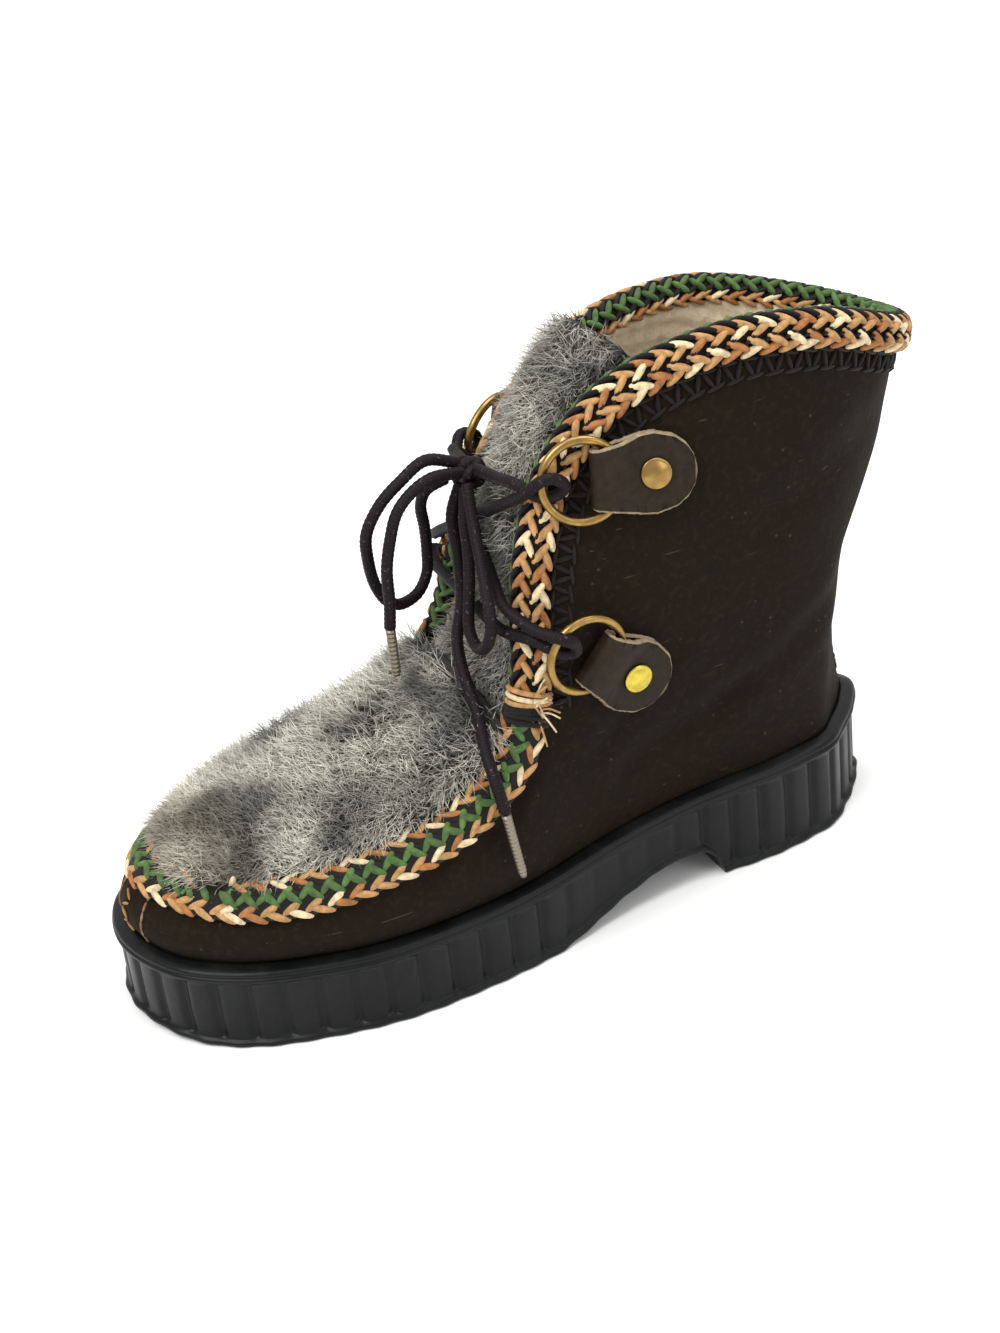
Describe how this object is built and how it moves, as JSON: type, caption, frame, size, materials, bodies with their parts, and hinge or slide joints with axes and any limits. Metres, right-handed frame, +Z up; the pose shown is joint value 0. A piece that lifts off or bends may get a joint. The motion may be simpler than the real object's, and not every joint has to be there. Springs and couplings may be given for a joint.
{
  "type": "mukluk",
  "caption": "Low winter shoe with a leather upper, fur vamp and tongue, braided trim, ring lacing tied in a bow and a ribbed rubber cup sole.",
  "frame": {"origin": "centre of the heel's tread, on the floor", "axes": "+Z up, -Y towards the toe, +X towards the outer (lateral) side of this left shoe"},
  "size_m": [0.1034, 0.2734, 0.1842],
  "materials": {
    "rubber": "satin black moulded rubber",
    "leather": "dark brown oiled leather, lightly worn",
    "tab_leather": "dark grey-brown leather with pale cut edges",
    "fur": "grey fur with pale tips",
    "braid": "orange, green, cream and black wool braid",
    "brass": "antique brass",
    "felt": "fleece-covered felt",
    "lace": "round braided cord, purple-black",
    "aglet": "dull metal"
  },
  "bodies": {
    "root": {"outsole": "rubber", "insole": "felt", "vamp_braid": "braid", "collar_braid": "braid", "upper": "leather", "vamp": "fur", "tongue": "fur", "tab_upper_lateral": "tab_leather", "ring_upper_lateral": "brass", "rivet_upper_lateral": "brass", "tab_lower_lateral": "tab_leather", "ring_lower_lateral": "brass", "rivet_lower_lateral": "brass", "tab_upper_medial": "tab_leather", "ring_upper_medial": "brass", "rivet_upper_medial": "brass", "tab_lower_medial": "tab_leather", "ring_lower_medial": "brass", "rivet_lower_medial": "brass", "lace_crossings": "lace", "lace_knot": "lace", "lace_loop_left": "lace", "lace_loop_right": "lace", "lace_end_left": "lace", "lace_end_right": "lace", "aglet_left": "aglet", "aglet_right": "aglet"}
  },
  "joints": []
}
